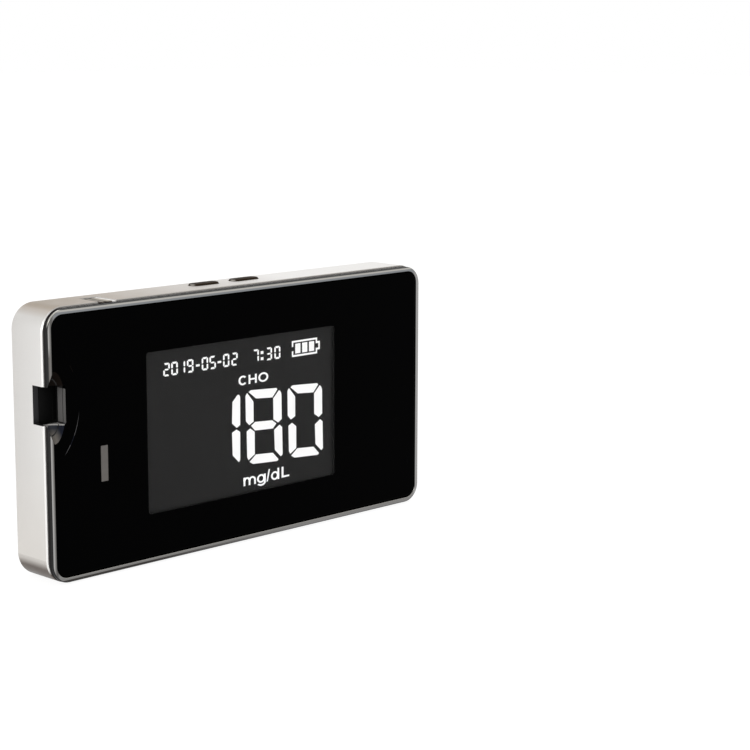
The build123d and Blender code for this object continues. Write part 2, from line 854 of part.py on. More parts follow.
with BuildPart() as code_key_blade:
    with BuildSketch(level(blade_bottom)):
        with Locations((key_x, blade_front)):
            Rectangle(key_blade_width, key_blade_thickness, align=(Align.CENTER, Align.MIN))
    extrude(amount=key_blade_length)
save(code_key_blade, "code_key_blade")

key_contact_spots = GridLocations(key_contact_pitch, 0, key_contact_count, 1).locations
key_contact_x = [key_x + spot.position.X for spot in key_contact_spots]
contact_groove_back = socket_back - socket_wall / 2
with BuildPart() as code_socket:
    with BuildSketch(level(socket_bottom)):
        with Locations((key_x, board_back)):
            Rectangle(socket_width, socket_back - board_back, align=(Align.CENTER, Align.MIN))
    extrude(amount=socket_top - socket_bottom)
    with BuildSketch(level(socket_bottom + socket_floor)):
        with Locations((key_x, blade_front - case_fit)):
            Rectangle(
                key_blade_width + 2 * case_fit,
                key_blade_thickness + 2 * case_fit,
                align=(Align.CENTER, Align.MIN),
            )
    extrude(amount=socket_top - socket_bottom - socket_floor, mode=Mode.SUBTRACT)
    # Grooves for the contacts in the rear wall of the slot
    with BuildSketch(level(socket_bottom)):
        with Locations(*((x, blade_back) for x in key_contact_x)):
            Rectangle(
                key_contact_width + 2 * seat_gap,
                contact_groove_back - blade_back,
                align=(Align.CENTER, Align.MIN),
            )
    extrude(amount=socket_top - socket_bottom - socket_wall, mode=Mode.SUBTRACT)
save(code_socket, "code_socket")

with BuildPart() as code_contacts:
    with BuildSketch(level(socket_bottom - contact_thickness)):
        with Locations(*((x, board_back) for x in key_contact_x)):
            Rectangle(
                key_contact_width,
                contact_groove_back - seat_gap - board_back,
                align=(Align.CENTER, Align.MIN),
            )
    extrude(amount=contact_thickness)
    with BuildSketch(level(socket_bottom)):
        with Locations(*((x, contact_groove_back - seat_gap) for x in key_contact_x)):
            Rectangle(key_contact_width, contact_thickness, align=(Align.CENTER, Align.MAX))
    extrude(amount=key_blade_bite)
save(code_contacts, "code_contacts")

# ---------------------------------------------------------------- buttons and switches
for side, x in zip(("left", "right"), button_x):
    with BuildPart() as button:
        with BuildSketch(level(flange_top)):
            with Locations((x, button_depth)):
                RectangleRounded(button_length, button_width, button_radius)
        extrude(amount=body_height + button_rise - flange_top)
        fillet(button.faces().sort_by(Axis.Z)[-1].edges(), button_edge)
        with BuildSketch(level(flange_bottom)):
            with Locations((x, button_depth)):
                RectangleRounded(
                    button_length + 2 * flange_margin, button_width + 2 * flange_margin, button_radius
                )
        extrude(amount=flange_height)
        with BuildSketch(level(stem_bottom)):
            with Locations((x, button_depth)):
                Rectangle(stem_length, stem_width)
        extrude(amount=stem_height)
    save(button, f"button_{side}")

    with BuildPart() as switch:
        with BuildSketch(level(switch_bottom)):
            with Locations((x, board_back)):
                Rectangle(switch_length, switch_rise, align=(Align.CENTER, Align.MIN))
        extrude(amount=switch_height)
        with BuildSketch(level(switch_top)):
            with Locations((x, button_depth)):
                Rectangle(plunger_length + 2 * plunger_gap, plunger_width + 2 * plunger_gap)
        extrude(amount=-plunger_bite - 2 * button_travel, mode=Mode.SUBTRACT)
    save(switch, f"switch_{side}")

    with BuildPart() as plunger:
        with BuildSketch(level(switch_top - plunger_bite)):
            with Locations((x, button_depth)):
                Rectangle(plunger_length, plunger_width)
        extrude(amount=stem_bottom - switch_top + plunger_bite)
    save(plunger, f"switch_plunger_{side}")

# ---------------------------------------------------------------- coin cells and their contacts
with BuildPart() as battery_holder:
    with BuildSketch(upright(cover_front - holder_back_gap)):
        with Locations(((battery_left_x + battery_right_x) / 2, 0)):
            Rectangle(battery_right_x - battery_left_x, 2 * holder_reach)
    extrude(amount=cover_front - holder_back_gap - board_back)
    with BuildSketch(upright(cover_front - holder_back_gap)):
        with Locations(*((x, 0) for x in cell_x)):
            Circle(cell_hole_radius - holder_ledge)
    extrude(amount=cover_front - holder_back_gap - board_back, mode=Mode.SUBTRACT)
    with BuildSketch(upright(cover_front - holder_back_gap)):
        with Locations(*((x, 0) for x in cell_x)):
            Circle(cell_hole_radius)
    extrude(amount=cover_front - holder_back_gap - cell_shoulder, mode=Mode.SUBTRACT)
    # Room for the side clips
    with BuildSketch(upright(cover_front - holder_back_gap)):
        with Locations(*((x, -cell_radius) for x in cell_x)):
            Rectangle(clip_width + 2 * case_fit, 2 * (clip_thickness + 2 * clip_gap))
    extrude(amount=cover_front - holder_back_gap - board_back, mode=Mode.SUBTRACT)
save(battery_holder, "battery_holder")

for side, x in zip(("left", "right"), cell_x):
    with BuildPart() as coin_cell:
        with BuildSketch(upright(cell_back)):
            with Locations((x, 0)):
                Circle(cell_radius)
        extrude(amount=cell_back - cell_shoulder)
        with BuildSketch(upright(cell_back)):
            with Locations((x, 0)):
                Circle(cell_radius - cell_lid_inset)
        extrude(amount=cell_thickness)
    save(coin_cell, f"coin_cell_{side}")

spring_foot = board_back + spring_thickness / 2
spring_tip = cell_front - spring_thickness / 2
with BuildPart() as negative_springs:
    for x in cell_x:
        with BuildSketch(level(mid_z)):
            with BuildLine():
                Polyline(
                    (x - spring_reach - spring_width / 2, spring_foot),
                    (x - spring_reach, spring_foot),
                    (x, spring_tip),
                    (x + spring_width / 2, spring_tip),
                )
            trace(line_width=spring_thickness)
        extrude(amount=spring_width / 2, both=True)
save(negative_springs, "negative_springs")

with BuildPart() as positive_clips:
    with BuildSketch(upright(cell_back)):
        with Locations(*((x, -cell_radius - clip_gap) for x in cell_x)):
            Rectangle(clip_width, clip_thickness, align=(Align.CENTER, Align.MAX))
    extrude(amount=cell_back - board_back)
save(positive_clips, "positive_clips")
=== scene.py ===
import math

import bpy
from mathutils import Matrix, Vector


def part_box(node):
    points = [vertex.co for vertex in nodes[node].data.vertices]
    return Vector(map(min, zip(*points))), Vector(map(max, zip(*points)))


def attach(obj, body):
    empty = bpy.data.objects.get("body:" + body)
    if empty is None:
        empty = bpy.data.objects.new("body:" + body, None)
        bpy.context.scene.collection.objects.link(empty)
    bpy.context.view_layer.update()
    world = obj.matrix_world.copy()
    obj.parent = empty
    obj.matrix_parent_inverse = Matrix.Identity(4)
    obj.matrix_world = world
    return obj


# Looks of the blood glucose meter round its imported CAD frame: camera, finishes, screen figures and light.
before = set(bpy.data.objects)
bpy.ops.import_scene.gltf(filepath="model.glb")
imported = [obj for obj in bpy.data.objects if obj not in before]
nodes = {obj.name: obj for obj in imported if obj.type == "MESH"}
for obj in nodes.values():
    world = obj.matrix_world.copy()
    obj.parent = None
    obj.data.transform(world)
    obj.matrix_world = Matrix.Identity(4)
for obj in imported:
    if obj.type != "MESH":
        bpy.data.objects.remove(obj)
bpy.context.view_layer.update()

mm = 0.001
BODY = "meter"

# ---------------------------------------------------------------- camera
# The photograph's view, fitted on the straight edges of the panel and the screen.
camera_place = Vector((-260.26, -297.55, 102.97)) * mm
camera_azimuth = math.radians(-45.358)
camera_elevation = math.radians(10.041)
camera_roll = math.radians(0.154)
camera_lens = 96.03
camera_sensor = 36.0
camera_clip = 10 * mm

camera_data = bpy.data.cameras.new("camera")
camera_data.lens = camera_lens
camera_data.sensor_width = camera_sensor
camera_data.clip_start = camera_clip
camera = bpy.data.objects.new("camera", camera_data)
camera.matrix_world = (
    Matrix.Translation(camera_place)
    @ Matrix.Rotation(camera_azimuth, 4, "Z")
    @ Matrix.Rotation(math.pi / 2 - camera_elevation, 4, "X")
    @ Matrix.Rotation(camera_roll, 4, "Z")
)
bpy.context.scene.collection.objects.link(camera)
bpy.context.scene.camera = camera
bpy.context.scene.view_settings.view_transform = "Standard"

# ---------------------------------------------------------------- material tools
# Most of a noise texture's values lie between these two.
noise_low, noise_high = 0.3, 0.7

# Directions that a surface may face
LEFT, FRONT, UP, DOWN = (-1, 0, 0), (0, -1, 0), (0, 0, 1), (0, 0, -1)
FRONT_LEFT, FRONT_UP = (-0.707, -0.707, 0), (0, -0.707, 0.707)
# The way the buttons' painted highlight faces
BUTTON_HIGHLIGHT_FACING = (-0.81, -0.32, 0.49)


class Finish:
    """A principled material with the procedural nodes that its surface needs.

    A mask is a node output from 0 to 1 that says where a paint lies. All lengths are in metres."""

    def __init__(self, name, color, roughness, metallic=0.0, specular=0.5):
        self.material = bpy.data.materials.new(name)
        self.material.use_nodes = True
        self.tree = self.material.node_tree
        self.shader = self.tree.nodes["Principled BSDF"]
        self.color = color
        self.roughness = roughness
        self.shader.inputs["Base Color"].default_value = (*color, 1.0)
        self.shader.inputs["Roughness"].default_value = roughness
        self.shader.inputs["Metallic"].default_value = metallic
        self.shader.inputs["Specular IOR Level"].default_value = specular
        coordinates = self.tree.nodes.new("ShaderNodeTexCoord")
        self.place = coordinates.outputs["Object"]
        self.facet = coordinates.outputs["Normal"]
        self.painted = None

    def link(self, source, target):
        self.tree.links.new(source, target)

    def noise(self, size, detail=2.0, scale=(1, 1, 1)):
        """Noise with features about one size across; a scale below 1 draws them out along its axis."""
        mapping = self.tree.nodes.new("ShaderNodeMapping")
        mapping.inputs["Scale"].default_value = scale
        self.link(self.place, mapping.inputs["Vector"])
        noise = self.tree.nodes.new("ShaderNodeTexNoise")
        noise.inputs["Scale"].default_value = 1 / size
        noise.inputs["Detail"].default_value = detail
        self.link(mapping.outputs["Vector"], noise.inputs["Vector"])
        return noise.outputs["Fac"]

    def spread(self, texture, low, high):
        """Spread a texture's values over a range."""
        node = self.tree.nodes.new("ShaderNodeMapRange")
        node.inputs["From Min"].default_value = noise_low
        node.inputs["From Max"].default_value = noise_high
        node.inputs["To Min"].default_value = low
        node.inputs["To Max"].default_value = high
        self.link(texture, node.inputs["Value"])
        return node.outputs["Result"]

    def mapped(self, value, start, stop):
        """A mask: 0 at start, 1 at stop, and even between them."""
        node = self.tree.nodes.new("ShaderNodeMapRange")
        node.inputs["From Min"].default_value = start
        node.inputs["From Max"].default_value = stop
        self.link(value, node.inputs["Value"])
        return node.outputs["Result"]

    def facing(self, direction, start, stop):
        """A mask by how the surface faces: by the cosine between its normal and a direction."""
        node = self.tree.nodes.new("ShaderNodeVectorMath")
        node.operation = "DOT_PRODUCT"
        self.link(self.facet, node.inputs[0])
        node.inputs[1].default_value = direction
        return self.mapped(node.outputs["Value"], start, stop)

    def along(self, axis, start, stop):
        """A mask by the place on an axis."""
        parts = self.tree.nodes.new("ShaderNodeSeparateXYZ")
        self.link(self.place, parts.inputs["Vector"])
        return self.mapped(parts.outputs[axis], start, stop)

    def between(self, axis, low, high, fade=0.03 * mm):
        """A mask: 1 where a coordinate is from low to high, 0 from the fade beyond them on."""
        return self.product(self.along(axis, low - fade, low), self.along(axis, high + fade, high))

    def product(self, first, *others):
        """The mask that all of these masks leave."""
        for mask in others:
            node = self.tree.nodes.new("ShaderNodeMath")
            node.operation = "MULTIPLY"
            self.link(first, node.inputs[0])
            self.link(mask, node.inputs[1])
            first = node.outputs["Value"]
        return first

    def paint(self, color, *masks):
        """Lay a colour where the masks leave it; each coat lies over the ones before."""
        mix = self.tree.nodes.new("ShaderNodeMix")
        mix.data_type = "RGBA"
        mix.inputs["A"].default_value = (*self.color, 1.0)
        if self.painted:
            self.link(self.painted, mix.inputs["A"])
        mix.inputs["B"].default_value = (*color, 1.0)
        self.link(self.product(*masks), mix.inputs["Factor"])
        self.painted = mix.outputs["Result"]
        self.link(self.painted, self.shader.inputs["Base Color"])

    def mottle(self, texture, amount):
        """Darken the base colour by an amount where the texture is high."""
        self.paint(tuple(c * (1 - amount) for c in self.color), self.spread(texture, 0.0, 1.0))

    def vary_roughness(self, texture, amount):
        rough = self.spread(texture, self.roughness - amount, self.roughness + amount)
        self.link(rough, self.shader.inputs["Roughness"])

    def bump(self, height, distance):
        """Raise the surface by a texture."""
        node = self.tree.nodes.new("ShaderNodeBump")
        node.inputs["Distance"].default_value = distance
        self.link(height, node.inputs["Height"])
        self.link(node.outputs["Normal"], self.shader.inputs["Normal"])

    def coat(self, weight, roughness):
        self.shader.inputs["Coat Weight"].default_value = weight
        self.shader.inputs["Coat Roughness"].default_value = roughness

    def wear(self, *names):
        """Put the material on CAD nodes."""
        for name in names:
            piece = nodes[name]
            if not piece.material_slots:
                piece.data.materials.append(self.material)
            for slot in piece.material_slots:
                slot.material = self.material


# ---------------------------------------------------------------- outside finishes
# Places that the finishes refer to, from the boxes of the CAD nodes
port_low, port_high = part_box("strip_guide")
panel_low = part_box("front_panel")[0]
bezel_low, bezel_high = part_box("chrome_bezel")
shell_low, shell_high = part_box("rear_shell")
key_low, key_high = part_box("code_key_cap")
window_low, window_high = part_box("display_window")
mid_z = (shell_low.z + shell_high.z) / 2
port_z = (port_low.z + port_high.z) / 2

# The strip port: its square notch, and the funnel that opens above and below it
notch_half = 3.6 * mm
notch_floor, notch_roof = port_z - notch_half, port_z + notch_half
notch_back = bezel_low.y + 4.4 * mm
funnel_foot, funnel_top = port_z - 7.6 * mm, port_z + 7.2 * mm
port_right = shell_low.x + 6 * mm

display_color = (0.030, 0.030, 0.030)


def by_port(finish):
    """The left end of the meter, as far as the strip port is cut into it."""
    return finish.along("X", port_right, port_right - 0.1 * mm)


def paint_notch_shade(finish):
    """Paint the notch in the shell near black as shade, with a margin for its own walls."""
    margin = 0.02 * mm
    height = finish.between("Z", notch_floor - margin, notch_roof + margin)
    depth = finish.along("Y", notch_back + 0.05 * mm, notch_back + margin)
    # Painted shade: the notch's walls are painted near black.
    finish.paint((0.004, 0.004, 0.005), height, depth, by_port(finish))


def paint_port_light_and_shade(finish):
    """Painted light and shade on the cut faces in front: an end wall painted lit grey, a roof painted dark
    as shade, and a lower scoop painted lit, with painted shade on its upper part and far side and a painted
    highlight along its rim.
    """
    here = by_port(finish)
    end_wall_painted_light = finish.product(here, finish.facing(LEFT, 0.96, 0.99))
    end_height = finish.between("Z", notch_floor, port_z + 2.9 * mm, fade=0.1 * mm)
    # Painted light: the end wall facing left is painted lit grey.
    finish.paint((0.125, 0.122, 0.12), end_wall_painted_light, end_height)

    scoop_height = finish.between("Z", funnel_foot, notch_floor - 0.01 * mm)
    scoop = finish.product(here, scoop_height, finish.facing(UP, 0.06, 0.12))
    scoop_upper_shade = finish.along("Z", notch_floor - 1.9 * mm, notch_floor - 0.7 * mm)
    scoop_far_shade = finish.along("X", shell_low.x + 2.2 * mm, shell_low.x + 3.2 * mm)
    scoop_rim_highlight = finish.along("Z", notch_floor - 0.22 * mm, notch_floor - 0.1 * mm)
    # Painted light and shade on the lower scoop: lit grey, shaded on its upper part and far side, with a
    # painted highlight on its rim.
    finish.paint((0.15, 0.138, 0.125), scoop)
    finish.paint((0.035, 0.038, 0.046), scoop, scoop_upper_shade)
    finish.paint((0.010, 0.012, 0.020), scoop, scoop_far_shade)
    finish.paint((0.4, 0.39, 0.38), scoop, scoop_rim_highlight)

    shaded_roof_height = finish.between("Z", notch_roof, funnel_top)
    # Painted shade: the down-facing roof over the notch is painted near black.
    finish.paint((0.007, 0.005, 0.004), here, shaded_roof_height, finish.facing(DOWN, 0.06, 0.12))


def silver_lacquer():
    """Satin champagne silver lacquer with fine flakes and a painted highlight on its front left edge.

    The left side is painted paler to the front and warmer to its foot, and the top lighter to the right and
    darker to the left, as painted light and shade; the underside, the lower left corner, the top front
    bevel and the notch are painted dark as shade."""
    finish = Finish("silver_lacquer", (0.66, 0.645, 0.625), roughness=0.42, metallic=0.35)
    flakes = finish.noise(0.12 * mm, detail=1.0)
    finish.mottle(flakes, 0.05)

    side = finish.facing(LEFT, 0.80, 0.98)
    # Painted light: the left side is painted paler to the front and warmer to its foot.
    finish.paint((0.76, 0.75, 0.735), side, finish.along("Y", shell_high.y, shell_low.y))
    finish.paint((0.70, 0.67, 0.63), side, finish.along("Z", mid_z, shell_low.z))

    # Painted shade: the underside is painted darker, and the lower left corner near black.
    finish.paint((0.33, 0.29, 0.26), finish.facing(DOWN, 0.15, 0.95))
    shaded_lower_corner = finish.along("X", shell_low.x + 9 * mm, shell_low.x + 4 * mm)
    finish.paint((0.09, 0.066, 0.05), finish.facing(DOWN, 0.03, 0.40), shaded_lower_corner)

    top = finish.facing(UP, 0.60, 0.98)
    level_top_shade = finish.facing(UP, 0.85, 0.99)
    # Painted light and shade: the top is painted light to the right and dark to the left.
    finish.paint((0.80, 0.785, 0.765), top, finish.along("X", -10 * mm, 14 * mm))
    finish.paint((0.36, 0.29, 0.225), top, finish.along("X", 12 * mm, shell_low.x))
    finish.paint((0.28, 0.225, 0.165), level_top_shade, finish.along("X", -16 * mm, shell_low.x))

    # Painted highlight along the front left edge.
    finish.paint((0.95, 0.94, 0.92), finish.facing(FRONT_LEFT, 0.90, 0.98))
    shaded_bevel = finish.facing(FRONT_UP, 0.90, 0.98)
    bevel_shadow_line = finish.along("Y", shell_low.y + 0.14 * mm, shell_low.y + 0.06 * mm)
    # Painted shade on the top front bevel, with a painted shadow line at its front edge.
    finish.paint((0.42, 0.40, 0.375), shaded_bevel)
    finish.paint((0.03, 0.025, 0.02), shaded_bevel, bevel_shadow_line)

    paint_notch_shade(finish)
    finish.vary_roughness(finish.noise(4 * mm), 0.04)
    finish.bump(flakes, 0.004 * mm)
    finish.coat(weight=0.15, roughness=0.3)
    return finish


def chrome():
    """Plated trim in painted reflections: a painted highlight on its upper edge, a face painted satin grey,
    and dark sides painted as a reflection of the dark frame.
    """
    # Painted reflection: the dark base colour stands in for the dark frame mirrored in the sides.
    finish = Finish("chrome", (0.03, 0.03, 0.03), roughness=0.16, metallic=1.0)
    # Painted highlight on the up-facing rounding.
    finish.paint((0.47, 0.455, 0.42), finish.facing(UP, 0.15, 0.55))

    face = finish.facing(FRONT, 0.955, 0.99)
    fade_inner, fade_outer = 1.6 * mm, 1.1 * mm
    # Painted reflection: the face is painted mid grey, lighter or darker by each edge and darkest by the
    # left one.
    finish.paint((0.25, 0.248, 0.245), face)
    for axis, edge, inwards, color in (
        ("Z", bezel_high.z, -1, (0.215, 0.225, 0.235)),
        ("Z", bezel_low.z, 1, (0.21, 0.205, 0.20)),
        ("X", bezel_high.x, -1, (0.31, 0.305, 0.30)),
        ("X", bezel_low.x, 1, (0.11, 0.105, 0.10)),
    ):
        side = finish.along(axis, edge + inwards * fade_inner, edge + inwards * fade_outer)
        finish.paint(color, face, side)

    left_edge_highlight = finish.along("X", bezel_low.x + 0.85 * mm, bezel_low.x + 0.3 * mm)
    above_port_shade = finish.between("Z", port_z, port_z + 9 * mm, fade=2 * mm)
    # Painted highlight along the left edge of the face, painted darker as shade above the port.
    finish.paint((0.42, 0.41, 0.40), face, left_edge_highlight)
    finish.paint((0.12, 0.11, 0.10), face, left_edge_highlight, above_port_shade)
    lower_edge_shade_line = finish.along("Z", bezel_low.z + 0.62 * mm, bezel_low.z + 0.5 * mm)
    # Painted shade line along the lower edge of the face.
    finish.paint((0.04, 0.037, 0.034), face, lower_edge_shade_line, finish.along("X", 15 * mm, -25 * mm))

    crown_highlight = finish.between("Z", bezel_high.z - 0.48 * mm, bezel_high.z - 0.24 * mm, fade=0.08 * mm)
    crown_shade_line = finish.along("Z", bezel_high.z - 0.2 * mm, bezel_high.z - 0.12 * mm)
    # Painted highlight on the crown, and a painted shade line behind it.
    finish.paint((0.42, 0.41, 0.385), crown_highlight)
    finish.paint((0.02, 0.02, 0.02), crown_shade_line)

    beside_funnel_shade = finish.between("Z", notch_roof, funnel_top)
    # Painted shade on the down-facing faces beside the funnel.
    finish.paint((0.012, 0.010, 0.009), beside_funnel_shade, finish.facing(DOWN, 0.06, 0.2))
    finish.vary_roughness(finish.noise(3 * mm), 0.03)
    finish.bump(finish.noise(0.8 * mm), 0.002 * mm)
    return finish


def panel_gloss():
    """Deep black gloss, with a painted highlight on the edge of the lower half of the dish round the strip
    port, and painted light and shade on the port's cut faces.

    The walls of the screen's opening are as grey as the display."""
    finish = Finish("panel_gloss", (0.0005, 0.0005, 0.0006), roughness=0.06, specular=0.008)
    dish_step_highlight = finish.facing(FRONT, 0.97, 0.80)
    dish_width = finish.between("X", panel_low.x + 2 * mm, panel_low.x + 10 * mm)
    dish_top = finish.along("Z", port_z - 1.5 * mm, port_z - 4.5 * mm)
    dish_foot = finish.along("Z", port_z - 9.4 * mm, port_z - 8.6 * mm)
    # Painted highlight on the edge of the dish.
    finish.paint((0.085, 0.085, 0.088), dish_step_highlight, dish_width, dish_top, dish_foot)

    reach = 0.15 * mm
    opening_width = finish.between("X", window_low.x - reach, window_high.x + reach)
    opening_height = finish.between("Z", window_low.z - reach, window_high.z + reach)
    finish.paint(display_color, opening_width, opening_height, finish.facing(FRONT, 0.3, 0.1))

    paint_port_light_and_shade(finish)
    finish.vary_roughness(finish.noise(6 * mm), 0.02)
    return finish


def frame_satin():
    """Black satin moulding behind the panel, painted darker on top as shade."""
    finish = Finish("frame_satin", (0.022, 0.021, 0.021), roughness=0.6, specular=0.02)
    # Painted shade: the up-facing faces are painted darker.
    finish.paint((0.006, 0.005, 0.005), finish.facing(UP, 0.5, 0.9))
    paint_port_light_and_shade(finish)
    finish.vary_roughness(finish.noise(2 * mm), 0.04)
    finish.bump(finish.noise(0.6 * mm), 0.003 * mm)
    return finish


def lining_black():
    """Deep black lining of the strip port."""
    finish = Finish("lining_black", (0.004, 0.004, 0.004), roughness=0.5, specular=0.1)
    finish.mottle(finish.noise(0.6 * mm), 0.3)
    finish.bump(finish.noise(0.3 * mm), 0.004 * mm)
    return finish


def window_clear():
    """Clear screen window, seen as a faint gloss over the display."""
    finish = Finish("window_clear", (0.01, 0.01, 0.01), roughness=0.05, specular=0.05)
    finish.vary_roughness(finish.noise(8 * mm), 0.015)
    finish.shader.inputs["Alpha"].default_value = 0.12
    return finish


def display_dark():
    """Dark grey face of the display, behind the window."""
    finish = Finish("display_dark", display_color, roughness=0.35, specular=0.1)
    finish.mottle(finish.noise(4 * mm), 0.04)
    return finish


def figure_white():
    """Lit figures on the display, with a slightly uneven glow."""
    finish = Finish("figure_white", (0.80, 0.80, 0.80), roughness=0.5, specular=0.1)
    glow = finish.spread(finish.noise(2 * mm), 0.94, 1.0)
    color = finish.tree.nodes.new("ShaderNodeCombineColor")
    for channel in ("Red", "Green", "Blue"):
        finish.link(glow, color.inputs[channel])
    finish.link(color.outputs["Color"], finish.shader.inputs["Emission Color"])
    finish.shader.inputs["Emission Strength"].default_value = 0.8
    return finish


def indicator_milk():
    """Grey milky light pipe."""
    finish = Finish("indicator_milk", (0.135, 0.125, 0.118), roughness=0.35, specular=0.3)
    finish.mottle(finish.noise(1 * mm), 0.06)
    return finish


def button_gloss():
    """Dark brownish buttons, with a painted highlight at the front left of their rounded rims."""
    finish = Finish("button_gloss", (0.030, 0.020, 0.012), roughness=0.5, specular=0.01)
    finish.mottle(finish.noise(0.6 * mm), 0.2)
    # Painted highlight at the front left of the rims.
    finish.paint((0.40, 0.38, 0.35), finish.facing(BUTTON_HIGHLIGHT_FACING, 0.86, 0.97))
    finish.vary_roughness(finish.noise(1 * mm), 0.05)
    finish.bump(finish.noise(0.4 * mm), 0.004 * mm)
    return finish


def key_satin():
    """Satin champagne cap of the code key, with its sides and borders painted dark as shade and its right
    border painted pale as a highlight.
    """
    finish = Finish("key_satin", (0.42, 0.38, 0.32), roughness=0.45, metallic=0.1, specular=0.05)
    finish.mottle(finish.noise(0.15 * mm), 0.05)
    # Painted shade: the sides are painted dark.
    finish.paint((0.03, 0.024, 0.02), finish.facing(UP, 0.95, 0.6))
    dark, pale = (0.05, 0.04, 0.033), (0.9, 0.88, 0.86)
    # Painted shade lines on the left, inner and back borders, and a painted highlight on the right border.
    finish.paint(dark, finish.between("X", key_low.x + 1.25 * mm, key_low.x + 1.75 * mm, fade=0.1 * mm))
    finish.paint(dark, finish.along("Y", key_high.y - 0.8 * mm, key_high.y - 0.65 * mm))
    finish.paint(dark, finish.along("X", key_low.x + 0.75 * mm, key_low.x + 0.6 * mm))
    finish.paint(pale, finish.along("X", key_high.x - 0.85 * mm, key_high.x - 0.7 * mm))
    finish.bump(finish.noise(0.2 * mm), 0.005 * mm)
    return finish


silver_lacquer().wear("rear_shell", "battery_cover")
chrome().wear("chrome_bezel")
panel_gloss().wear("front_panel")
frame_satin().wear("front_frame")
lining_black().wear("strip_guide")
window_clear().wear("display_window")
display_dark().wear("lcd_glass")
indicator_milk().wear("indicator_window")
button_gloss().wear("button_left", "button_right")
key_satin().wear("code_key_cap")


# ---------------------------------------------------------------- inside finishes
def board_lacquer():
    """Green solder mask with a faint pattern of tracks under it."""
    track_pitch, track_share = 1.6 * mm, 0.08
    finish = Finish("board_lacquer", (0.012, 0.11, 0.045), roughness=0.32)
    cells = finish.tree.nodes.new("ShaderNodeTexVoronoi")
    cells.distance = "CHEBYCHEV"
    cells.feature = "DISTANCE_TO_EDGE"
    cells.inputs["Scale"].default_value = 1 / track_pitch
    finish.link(finish.place, cells.inputs["Vector"])
    lines = finish.tree.nodes.new("ShaderNodeMath")
    lines.operation = "LESS_THAN"
    lines.inputs[1].default_value = track_share
    finish.link(cells.outputs["Distance"], lines.inputs[0])
    finish.paint((0.03, 0.20, 0.085), finish.spread(lines.outputs["Value"], 0.0, 1.0))
    finish.bump(lines.outputs["Value"], 0.02 * mm)
    return finish


def moulded(name, color, roughness=0.55):
    """Plain moulded plastic with a fine spark-eroded grain."""
    finish = Finish(name, color, roughness)
    finish.mottle(finish.noise(0.6 * mm), 0.12)
    finish.bump(finish.noise(0.15 * mm), 0.008 * mm)
    return finish


def brushed(name, color, roughness=0.34):
    """Rolled sheet metal, with fine lines along X."""
    finish = Finish(name, color, roughness, metallic=1.0)
    lines = finish.noise(0.2 * mm, scale=(0.05, 1, 1))
    finish.vary_roughness(lines, 0.08)
    finish.bump(lines, 0.004 * mm)
    return finish


def rubbery(name, color):
    """Matte elastomer or foam tape."""
    finish = Finish(name, color, roughness=0.85, specular=0.3)
    finish.mottle(finish.noise(0.4 * mm), 0.2)
    finish.bump(finish.noise(0.2 * mm), 0.02 * mm)
    return finish


board_lacquer().wear("main_board", "radio_board", "code_key_blade")
moulded("chip_black", (0.02, 0.02, 0.021)).wear(
    "processor_chip", "memory_chip", "analog_chip", "buzzer",
    "strip_connector", "code_socket", "switch_left", "switch_right",
)
moulded("holder_white", (0.72, 0.72, 0.70)).wear(
    "lcd_holder", "switch_plunger_left", "switch_plunger_right", "lcd_backlight"
)
moulded("holder_black", (0.025, 0.025, 0.027)).wear("battery_holder")
moulded("lamp_resin", (0.75, 0.72, 0.45), roughness=0.25).wear("backlight_leds", "indicator_led")
moulded("ceramic_tan", (0.36, 0.26, 0.16), roughness=0.4).wear("chip_capacitors")
brushed("screw_steel", (0.42, 0.42, 0.43)).wear("case_screws", "board_screws")
brushed("shield_tin", (0.48, 0.48, 0.46)).wear("radio_shield", "clock_crystal")
brushed("cell_steel", (0.44, 0.44, 0.43), roughness=0.28).wear("coin_cell_left", "coin_cell_right")
brushed("spring_steel", (0.45, 0.45, 0.45), roughness=0.3).wear("negative_springs", "positive_clips")
brushed("contact_gold", (0.80, 0.60, 0.26), roughness=0.25).wear("strip_contacts", "code_contacts")
rubbery("tape_black", (0.02, 0.02, 0.02)).wear("panel_tape", "lcd_seal")
rubbery("zebra_grey", (0.06, 0.06, 0.065)).wear("zebra_strip")

# ---------------------------------------------------------------- screen figures
# Points on the display are in millimetres: x from the middle of the body, z from half its height.
screen_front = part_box("lcd_glass")[0].y
figure_thickness = 0.03 * mm
lit_white = figure_white().material


def area(shape):
    """Signed area of an outline."""
    pairs = zip(shape, shape[1:] + shape[:1])
    return sum(x0 * z1 - x1 * z0 for (x0, z0), (x1, z1) in pairs) / 2


def figures(name, shapes):
    """Thin plates on the display, one for each outline, as one piece."""
    verts, faces = [], []
    for shape in shapes:
        if area(shape) < 0:
            shape = shape[::-1]
        count, start = len(shape), len(verts)
        for y in (screen_front - figure_thickness, screen_front):
            verts += [(x * mm, y, mid_z + z * mm) for x, z in shape]
        front, back = range(start, start + count), range(start + count, start + 2 * count)
        faces.append(tuple(front))
        faces.append(tuple(reversed(back)))
        for i in range(count):
            after = (i + 1) % count
            faces.append((front[i], back[i], back[after], front[after]))
    mesh = bpy.data.meshes.new(name)
    mesh.from_pydata(verts, [], faces)
    mesh.materials.append(lit_white)
    mesh.update()
    piece = bpy.data.objects.new(name, mesh)
    bpy.context.scene.collection.objects.link(piece)
    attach(piece, BODY)


def moved(shape, x, z):
    return [(px + x, pz + z) for px, pz in shape]


def bar(x0, z0, x1, z1):
    return [(x0, z0), (x1, z0), (x1, z1), (x0, z1)]


